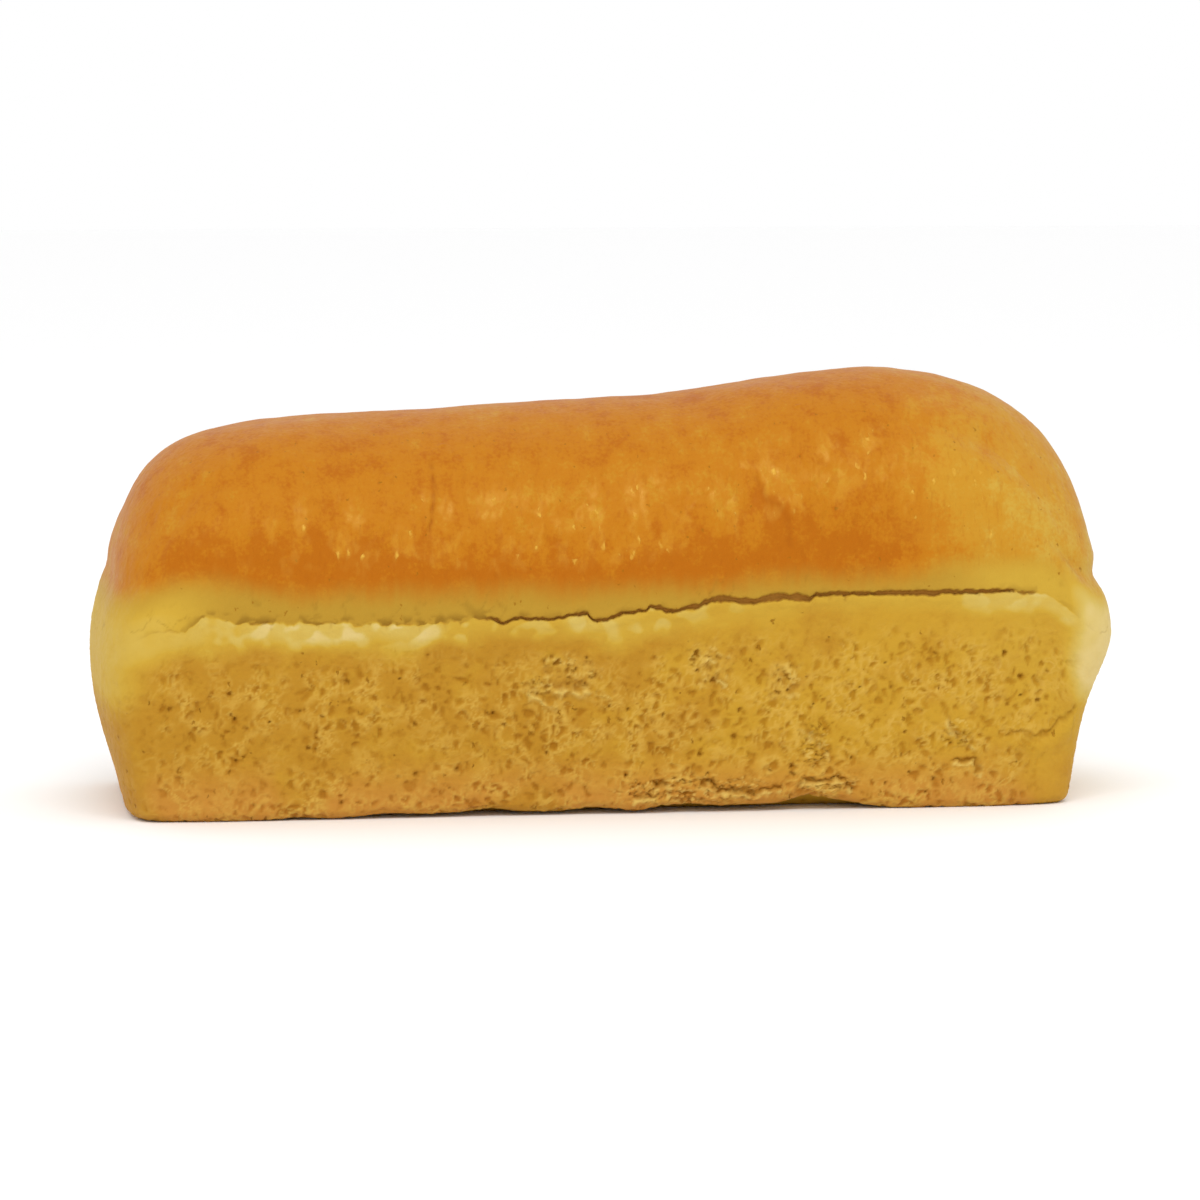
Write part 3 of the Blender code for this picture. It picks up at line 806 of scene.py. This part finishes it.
tan = np.where(at_side > 0.9, ~on_crown * 1.0, smooth_step(0.004, -0.012, above_rim))
golden = mix(0.12, 0.80, smooth_step(-0.045, 0.080, x)) + 0.40 * hills(form, 0.018, 147) + 0.25 * hills(form, 0.006, 148)
pink = smooth_step(0.022, 0.003, z) * mix(0.2, 1.0, smooth_step(-0.25, 0.3, hills(form, 0.030, 149))) * ~on_base
marks.update(baked=baked, tan=tan, golden=golden, foot=foot, smudge=smudge, cream=cream, pink=pink)
marks = {name: np.clip(values, 0.0, 1.0) for name, values in marks.items()}
print("marks:", ", ".join(sorted(marks)))

# %% [markdown]
# ## Cut the skin into pieces
#
# One mesh with every quad would be heavy to open and to print, so the skin is shared out: the crown in a front and
# a back half, the four walls, and the base. Neighbours share their border corners and their directions, so no
# seam shows. Each piece carries the marks as *attributes*, which are numbers stored at its corners.

# %% Make the pieces


def make_piece(name, chosen):
    """A mesh object of the chosen quads, with their corners' directions and marks."""
    used, own_quads = np.unique(quads[chosen], return_inverse=True)
    own_quads = own_quads.reshape(-1, 4)
    mesh = bpy.data.meshes.new(name)
    mesh.vertices.add(len(used))
    mesh.vertices.foreach_set("co", skin[used].ravel())
    mesh.loops.add(own_quads.size)
    mesh.loops.foreach_set("vertex_index", own_quads.ravel())
    mesh.polygons.add(len(own_quads))
    mesh.polygons.foreach_set("loop_start", np.arange(0, own_quads.size, 4))
    mesh.update(calc_edges=True)
    mesh.validate()
    mesh.shade_smooth()
    mesh.normals_split_custom_set_from_vertices(skin_normal[used])
    for mark, values in marks.items():
        mesh.attributes.new(mark, "FLOAT", "POINT").data.foreach_set("value", values[used])
    piece = bpy.data.objects.new(name, mesh)
    bpy.context.scene.collection.objects.link(piece)
    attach(piece, "root")
    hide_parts("loaf")
    print(f"{name}: {2 * len(own_quads)} triangles")
    return piece


middle = cube[quads].mean(axis=1)
in_crown = lattice[quads][..., 2].min(axis=1) >= RIM_ROW
in_base = lattice[quads][..., 2].max(axis=1) == 0
in_ends = abs(middle[:, 0]) > 1.0 - 1e-9
in_wall = ~in_crown & ~in_base
faces_front = middle[:, 1] < 0.0
pieces = {
    "crown_front": make_piece("crown_front", in_crown & faces_front),
    "crown_back": make_piece("crown_back", in_crown & ~faces_front),
    "wall_front": make_piece("wall_front", in_wall & ~in_ends & faces_front),
    "wall_back": make_piece("wall_back", in_wall & ~in_ends & ~faces_front),
    "wall_ends": make_piece("wall_ends", in_wall & in_ends),
    "base": make_piece("base", in_base),
}

# %% [markdown]
# ## A short way to write nodes
#
# A material is a small graph. Two helpers keep the recipes below readable: `node` adds one and fills its inputs,
# each with a number, a colour or another node's output, and `ramp` adds a colour ramp from a list of stops.

# %% Node helpers


def node(tree, kind, inputs=None, **settings):
    """Adds a node, sets its properties, and feeds its inputs: an output socket is linked, a value is written."""
    made = tree.nodes.new(kind)
    for name, value in settings.items():
        setattr(made, name, value)
    for name, value in (inputs or {}).items():
        if isinstance(value, bpy.types.NodeSocket):
            tree.links.new(value, made.inputs[name])
        else:
            made.inputs[name].default_value = value
    return made


def ramp(tree, value, stops, interpolation="EASE"):
    made = node(tree, "ShaderNodeValToRGB", {"Fac": value})
    made.color_ramp.interpolation = interpolation
    while len(made.color_ramp.elements) < len(stops):
        made.color_ramp.elements.new(0.5)
    for element, (position, colour) in zip(made.color_ramp.elements, stops):
        element.position = position
        element.color = (*colour, 1.0)
    return made.outputs["Color"]


def maths(tree, operation, *values, clamp=False):
    made = node(tree, "ShaderNodeMath", dict(enumerate(values)), operation=operation, use_clamp=clamp)
    return made.outputs[0]


def blend(tree, share, below, above, way="MIX"):
    """Colour `above` laid over colour `below` by a share, or multiplied into it."""
    made = node(tree, "ShaderNodeMix", data_type="RGBA", blend_type=way)
    for socket, value in ((made.inputs[0], share), (made.inputs[6], below), (made.inputs[7], above)):
        if isinstance(value, bpy.types.NodeSocket):
            tree.links.new(value, socket)
        else:
            socket.default_value = value if isinstance(value, float) else (*value, 1.0)
    return made.outputs[2]


def new_group(name, inputs, outputs):
    """A node group with named sockets. A socket is given as (name, kind) or (name, kind, usual value)."""
    tree = bpy.data.node_groups.new(name, "ShaderNodeTree")
    for direction, sockets in (("INPUT", inputs), ("OUTPUT", outputs)):
        for socket_name, kind, *usual in sockets:
            socket = tree.interface.new_socket(socket_name, in_out=direction, socket_type=f"NodeSocket{kind}")
            if usual:
                socket.default_value = usual[0]
    return tree, node(tree, "NodeGroupInput").outputs, node(tree, "NodeGroupOutput").inputs


def attribute(tree, name):
    return node(tree, "ShaderNodeAttribute", attribute_name=name).outputs["Fac"]


print("node helpers ready")

# %% [markdown]
# ## Crust colour
#
# Crust browns along one path, from cream through straw and amber to orange-brown, and every piece of this loaf
# lies somewhere on it. So the path is one node group, used by each material with its own values. Tiny freckles
# break it up, because no two square millimetres brown alike.

# %% Colours and the crust colour group

STRAW = (0.510, 0.310, 0.042)
AMBER = (0.490, 0.228, 0.016)
ORANGE = (0.462, 0.162, 0.0060)
DEEP_ORANGE = (0.405, 0.114, 0.0028)
SCRATCH_AND_CREASE_SHADE = (0.330, 0.080, 0.0020)
TAN = (0.430, 0.211, 0.018)
GOLD = (0.500, 0.278, 0.024)
PINK_TAN = (0.500, 0.226, 0.036)
FOOT_YELLOW = (0.408, 0.230, 0.024)
CRACK_SHADE_OLIVE = (0.255, 0.132, 0.012)
YELLOW = (0.530, 0.330, 0.037)
CREAM = (0.570, 0.415, 0.100)
PALE_CREAM = (0.640, 0.490, 0.190)
FLAKE = (0.660, 0.455, 0.110)
THREAD_COLOUR = (0.600, 0.372, 0.066)
DIMPLE_SHADE = (0.76, 0.64, 0.38)
PIT_BROWN = (0.270, 0.105, 0.003)
CRACK_BROWN = (0.310, 0.135, 0.019)

colour_group, given, result = new_group(
    "Crust colour",
    [("Freckles", "Float", 0.2), ("Clouds", "Float", 0.3), ("Scratches", "Float", 0.0), ("Pores", "Float", 0.0)],
    [("Color", "Color")],
)


def mark(name, times=1.0, minus=0.0):
    """The mark's own number, less a little, times a little, kept between 0 and 1."""
    shifted = maths(colour_group, "SUBTRACT", attribute(colour_group, name), minus)
    return maths(colour_group, "MULTIPLY", shifted, times, clamp=True)


place = node(colour_group, "ShaderNodeTexCoord").outputs["Object"]
freckle = node(colour_group, "ShaderNodeTexNoise", {"Vector": place, "Scale": 900.0, "Detail": 3.0}).outputs["Fac"]
cloud = node(colour_group, "ShaderNodeTexNoise", {"Vector": place, "Scale": 150.0, "Detail": 4.0}).outputs["Fac"]
uneven_share = maths(colour_group, "MULTIPLY", maths(colour_group, "SUBTRACT", freckle, 0.5), given["Freckles"])
uneven_share = maths(
    colour_group, "MULTIPLY_ADD", maths(colour_group, "SUBTRACT", cloud, 0.5), given["Clouds"], uneven_share
)
path = maths(colour_group, "ADD", attribute(colour_group, "baked"), uneven_share)
crust = ramp(colour_group, path, [(0.1, STRAW), (0.45, AMBER), (0.75, ORANGE), (1.0, DEEP_ORANGE)])
tin_share = maths(colour_group, "ADD", attribute(colour_group, "golden"), maths(colour_group, "MULTIPLY", uneven_share, 2.0))
tin = ramp(colour_group, tin_share, [(0.0, TAN), (1.0, GOLD)])
upright = node(colour_group, "ShaderNodeMapping", {"Vector": place, "Scale": (1.0, 0.6, 0.35)}).outputs["Vector"]
scratch = node(colour_group, "ShaderNodeTexNoise", {"Vector": upright, "Scale": 750.0, "Detail": 3.0}).outputs["Fac"]
scratch = maths(colour_group, "MULTIPLY", maths(colour_group, "SUBTRACT", scratch, 0.57), 9.0, clamp=True)
crust = blend(colour_group, maths(colour_group, "MULTIPLY", scratch, given["Scratches"]), crust, SCRATCH_AND_CREASE_SHADE)
crust = blend(colour_group, mark("tan"), crust, tin)
crust = blend(colour_group, mark("foot"), crust, FOOT_YELLOW)
crust = blend(colour_group, mark("pink", 0.95), crust, PINK_TAN)
# Cream: pale torn crust, and on the shoulder partly painted light.
crust = blend(colour_group, mark("cream", 2.6), crust, YELLOW)
crust = blend(colour_group, mark("cream", 2.6, 0.35), crust, CREAM)
crust = blend(colour_group, mark("cream", 3.5, 0.72), crust, PALE_CREAM)
# Painted shade: the band above the crack and the small foot cracks are painted dark olive.
crust = blend(colour_group, mark("smudge", 0.9), crust, CRACK_SHADE_OLIVE)
crust = blend(colour_group, mark("foot_cracks", 0.35), crust, CRACK_SHADE_OLIVE)
# Painted shade: dimples, on the walls and the base, are multiplied darker, as shade in the hollows.
crust = blend(colour_group, mark("dimple", 0.90), crust, DIMPLE_SHADE, "MULTIPLY")
# Painted shade: the crease and fold lines take the scratch colour.
crust = blend(colour_group, mark("fold", 0.75), crust, SCRATCH_AND_CREASE_SHADE)
crust = blend(colour_group, mark("thread", 0.80), crust, THREAD_COLOUR)
# Painted shade: pores are painted dark brown, as shade in the small holes.
crust = blend(colour_group, given["Pores"], crust, PIT_BROWN)
crust = blend(colour_group, mark("torn", 0.9), crust, FLAKE)
# Painted shade: dark brown in tear grooves, crumb holes, shred recesses and along the flap.
crust = blend(colour_group, mark("groove", 0.75), crust, PIT_BROWN)
# Painted shade: pits are painted dark brown, as shade in the holes.
crust = blend(colour_group, mark("pit", 0.66), crust, PIT_BROWN)
# Painted shade: dark brown in the crack.
crust = blend(colour_group, mark("crack"), crust, CRACK_BROWN)
colour_group.links.new(crust, result["Color"])
print("Crust colour:", len(colour_group.nodes), "nodes")

# %% [markdown]
# ## Crust grain
#
# Relief finer than the lattice is left to bump: a tight grain of under half a millimetre, with a larger one that
# makes some patches rougher than others. The group gives the height, in millimetres, and a mask for roughness.

# %% The grain group

grain_group, given, result = new_group(
    "Crust grain",
    [("Fine", "Float", 0.03), ("Coarse", "Float", 0.05), ("Streaks", "Float", 0.0)],
    [("Height", "Float"), ("Rough", "Float")],
)
place = node(grain_group, "ShaderNodeTexCoord").outputs["Object"]
upright = node(grain_group, "ShaderNodeMapping", {"Vector": place, "Scale": (1.0, 0.4, 0.22)}).outputs["Vector"]
fine_noise = node(grain_group, "ShaderNodeTexNoise", {"Vector": place, "Scale": 2200.0, "Detail": 2.0}).outputs["Fac"]
coarse_noise = node(grain_group, "ShaderNodeTexNoise", {"Vector": place, "Scale": 620.0, "Detail": 4.0}).outputs["Fac"]
streak_noise = node(grain_group, "ShaderNodeTexNoise", {"Vector": upright, "Scale": 900.0, "Detail": 3.0}).outputs["Fac"]
height = maths(grain_group, "MULTIPLY", fine_noise, given["Fine"])
height = maths(grain_group, "MULTIPLY_ADD", coarse_noise, given["Coarse"], height)
height = maths(grain_group, "MULTIPLY_ADD", streak_noise, given["Streaks"], height)
grain_group.links.new(height, result["Height"])
grain_group.links.new(coarse_noise, result["Rough"])
print("Crust grain:", len(grain_group.nodes), "nodes")

# %% The pore group
# Pores: small sunken spots, which the material paints dark brown as shade in the holes.
pore_group, given, result = new_group(
    "Crust pores",
    [("Scale", "Float", 400.0), ("Reach", "Float", 0.3), ("Share", "Float", 0.4)],
    [("Pore", "Float")],
)
place = node(pore_group, "ShaderNodeTexCoord").outputs["Object"]
push = node(pore_group, "ShaderNodeTexNoise", {"Vector": place, "Scale": 900.0, "Detail": 1.0}).outputs["Color"]
push = node(pore_group, "ShaderNodeVectorMath", {0: push, 1: (0.0018, 0.0018, 0.0018)}, operation="MULTIPLY").outputs[0]
place = node(pore_group, "ShaderNodeVectorMath", {0: place, 1: push}, operation="ADD").outputs[0]
upright = node(pore_group, "ShaderNodeMapping", {"Vector": place, "Scale": (1.0, 1.0, 0.55)}).outputs["Vector"]
cell = node(pore_group, "ShaderNodeTexVoronoi", {"Vector": upright, "Scale": given["Scale"]})
chance = node(pore_group, "ShaderNodeSeparateColor", {"Color": cell.outputs["Color"]}).outputs
kept = maths(pore_group, "MULTIPLY_ADD", attribute(pore_group, "cream"), -0.5, given["Share"])
present = maths(pore_group, "LESS_THAN", chance["Red"], kept)
reach = maths(pore_group, "MULTIPLY", maths(pore_group, "MULTIPLY_ADD", chance["Green"], 0.7, 0.3), given["Reach"])
inside = maths(pore_group, "SUBTRACT", 1.0, maths(pore_group, "DIVIDE", cell.outputs["Distance"], reach), clamp=True)
inside = maths(pore_group, "MULTIPLY", maths(pore_group, "MULTIPLY", inside, 2.0, clamp=True), present)
pore_group.links.new(inside, result["Pore"])
print("Crust pores:", len(pore_group.nodes), "nodes")

# %% The glint group
glint_group, given, result = new_group(
    "Crown glints",
    [("Scale", "Float", 420.0), ("Reach", "Float", 0.3), ("Share", "Float", 0.4)],
    [("Glint", "Float")],
)
place = node(glint_group, "ShaderNodeTexCoord").outputs["Object"]
push = node(glint_group, "ShaderNodeTexNoise", {"Vector": place, "Scale": 700.0, "Detail": 1.0}).outputs["Color"]
push = node(glint_group, "ShaderNodeVectorMath", {0: push, 1: (0.0016, 0.0016, 0.0016)}, operation="MULTIPLY").outputs[0]
place = node(glint_group, "ShaderNodeVectorMath", {0: place, 1: push}, operation="ADD").outputs[0]
upright = node(glint_group, "ShaderNodeMapping", {"Vector": place, "Scale": (1.0, 0.7, 0.48)}).outputs["Vector"]
cell = node(glint_group, "ShaderNodeTexVoronoi", {"Vector": upright, "Scale": given["Scale"]})
chance = node(glint_group, "ShaderNodeSeparateColor", {"Color": cell.outputs["Color"]}).outputs
kept = maths(glint_group, "MULTIPLY", maths(glint_group, "SUBTRACT", attribute(glint_group, "gloss"), 0.48), given["Share"])
present = maths(glint_group, "LESS_THAN", chance["Red"], kept)
reach = maths(glint_group, "MULTIPLY", maths(glint_group, "MULTIPLY_ADD", chance["Green"], 0.6, 0.4), given["Reach"])
inside = maths(glint_group, "SUBTRACT", 1.0, maths(glint_group, "DIVIDE", cell.outputs["Distance"], reach), clamp=True)
glint_group.links.new(maths(glint_group, "MULTIPLY", inside, present), result["Glint"])
print("Crown glints:", len(glint_group.nodes), "nodes")

# %% [markdown]
# ## Three finishes
#
# - **glazed crown**: smoother where it is glossy, so it catches a soft highlight, and painted a paler gold in those
#   patches and at its glints as highlight
# - **tin-baked wall**: dull tan, with darker dimples, pale threads and dark pits
# - **floury base**: the driest and roughest

# %% Materials


SHINE_TINT = (1.0, 0.74, 0.32, 1.0)
GLINT_COLOUR = (0.720, 0.430, 0.060)


def crust_material(name, colours, grain, pores, pore_depth, glints, glint_height, rough, gloss, shine):
    """A material from the four groups, each given its own values. Gloss is how much smoother the crust is where
    the mark of that name says so. Where that mark is high, and at the glints, the base colour is also painted a
    paler gold as highlight."""
    material = bpy.data.materials.new(name)
    material.use_nodes = True
    tree = material.node_tree
    surface = tree.nodes["Principled BSDF"]
    made = {}
    for group, values in ((colour_group, colours), (grain_group, grain), (pore_group, pores), (glint_group, glints)):
        made[group.name] = node(tree, "ShaderNodeGroup", node_tree=group)
        for socket, value in values.items():
            made[group.name].inputs[socket].default_value = value
    colour, grained, porous, glinting = made.values()
    pore, glint = porous.outputs["Pore"], glinting.outputs["Glint"]
    tree.links.new(maths(tree, "MULTIPLY", pore, 0.7), colour.inputs["Pores"])
    # Painted highlight: glossy patches and glints are blended towards a pale gold in the base colour.
    glow = maths(tree, "MULTIPLY", maths(tree, "SUBTRACT", attribute(tree, "gloss"), 0.36), 0.24, clamp=True)
    lit = maths(tree, "MULTIPLY_ADD", glint, 0.75, glow, clamp=True)
    tree.links.new(blend(tree, lit, colour.outputs["Color"], GLINT_COLOUR), surface.inputs["Base Color"])
    height = maths(tree, "MULTIPLY_ADD", pore, -pore_depth, grained.outputs["Height"])
    height = maths(tree, "MULTIPLY_ADD", glint, glint_height, height)
    bump = node(tree, "ShaderNodeBump", {"Height": height, "Strength": 1.0, "Distance": MM})
    tree.links.new(bump.outputs["Normal"], surface.inputs["Normal"])
    dull = node(tree, "ShaderNodeMapRange", {"Value": grained.outputs["Rough"], "From Min": 0.3, "From Max": 0.7})
    dull.inputs["To Min"].default_value = rough - 0.07
    dull.inputs["To Max"].default_value = rough + 0.07
    roughness = maths(tree, "MULTIPLY_ADD", attribute(tree, "gloss"), -gloss, dull.outputs[0])
    roughness = maths(tree, "MULTIPLY_ADD", glint, -0.3 * gloss, roughness)
    tree.links.new(roughness, surface.inputs["Roughness"])
    surface.inputs["Specular IOR Level"].default_value = shine
    surface.inputs["Specular Tint"].default_value = SHINE_TINT
    return material


glazed_crown = crust_material(
    "glazed_crown",
    {"Freckles": 0.40, "Clouds": 0.60, "Scratches": 0.20},
    {"Fine": 0.030, "Coarse": 0.090, "Streaks": 0.060},
    {"Scale": 620.0, "Reach": 0.30, "Share": 0.10},
    pore_depth=0.06,
    glints={"Scale": 470.0, "Reach": 0.46, "Share": 1.5},
    glint_height=0.22,
    rough=0.64,
    gloss=0.36,
    shine=0.21,
)
baked_wall = crust_material(
    "tin_baked_wall",
    {"Freckles": 0.30, "Clouds": 0.40, "Scratches": 0.0},
    {"Fine": 0.035, "Coarse": 0.110, "Streaks": 0.040},
    {"Scale": 470.0, "Reach": 0.32, "Share": 0.11},
    pore_depth=0.25,
    glints={"Share": 0.0},
    glint_height=0.0,
    rough=0.64,
    gloss=0.0,
    shine=0.21,
)
floury_base = crust_material(
    "floury_base",
    {"Freckles": 0.30, "Clouds": 0.40, "Scratches": 0.0},
    {"Fine": 0.040, "Coarse": 0.120, "Streaks": 0.0},
    {"Scale": 300.0, "Reach": 0.34, "Share": 0.40},
    pore_depth=0.30,
    glints={"Share": 0.0},
    glint_height=0.0,
    rough=0.75,
    gloss=0.0,
    shine=0.12,
)

for name, piece in pieces.items():
    finish = glazed_crown if name.startswith("crown") else floury_base if name == "base" else baked_wall
    piece.data.materials.append(finish)
    print(name, "wears", finish.name)

# %% [markdown]
# ## The stage
#
# A loaf is shown best in soft, even light on something pale. The sky is plain white, and one long soft lamp in
# front and above gives the crown its highlight. The camera is low and a little to the left, with a long lens.

# %% Floor, light and camera

world = bpy.data.worlds.new("soft_white_room")
world.use_nodes = True
world.node_tree.nodes["Background"].inputs["Color"].default_value = (1.0, 1.0, 1.0, 1.0)
world.node_tree.nodes["Background"].inputs["Strength"].default_value = 1.0
bpy.context.scene.world = world
bpy.context.scene.view_settings.view_transform = "Standard"

floor_mesh = bpy.data.meshes.new("floor")
reach = 6.0
floor_mesh.from_pydata([(-reach, -reach, 0), (reach, -reach, 0), (reach, reach, 0), (-reach, reach, 0)], [], [(0, 1, 2, 3)])
floor = bpy.data.objects.new("floor", floor_mesh)
bpy.context.scene.collection.objects.link(floor)
floor_paint = bpy.data.materials.new("pale_floor")
floor_paint.use_nodes = True
floor_paint.node_tree.nodes["Principled BSDF"].inputs["Base Color"].default_value = (0.985, 0.985, 0.985, 1.0)
floor_paint.node_tree.nodes["Principled BSDF"].inputs["Roughness"].default_value = 0.9
floor_mesh.materials.append(floor_paint)


def look_at(thing, target):
    away = thing.location - target
    thing.rotation_euler = away.to_track_quat("Z", "Y").to_euler()


lamp = bpy.data.lights.new("long_soft_lamp", "AREA")
lamp.shape = "RECTANGLE"
lamp.size, lamp.size_y = 1.2, 0.14
lamp.energy = 9.0
key = bpy.data.objects.new("long_soft_lamp", lamp)
key.location = (-0.10, -1.05, 1.35)
bpy.context.scene.collection.objects.link(key)
look_at(key, Vector((0.0, 0.0, 0.07)))

CAMERA_AZIMUTH, CAMERA_ELEVATION = math.radians(-8.0), math.radians(6.0)
CAMERA_DISTANCE = 1.5
AIM = Vector((0.0016, 0.0, 0.0596))
towards_camera = Vector(
    (
        math.sin(CAMERA_AZIMUTH) * math.cos(CAMERA_ELEVATION),
        -math.cos(CAMERA_AZIMUTH) * math.cos(CAMERA_ELEVATION),
        math.sin(CAMERA_ELEVATION),
    )
)
lens = bpy.data.cameras.new("camera")
lens.lens = 146.5
lens.sensor_width = 36.0
lens.clip_end = 50.0
camera = bpy.data.objects.new("camera", lens)
camera.location = AIM + CAMERA_DISTANCE * towards_camera
bpy.context.scene.collection.objects.link(camera)
look_at(camera, AIM)
bpy.context.scene.camera = camera
print("camera at", [round(value, 3) for value in camera.location])
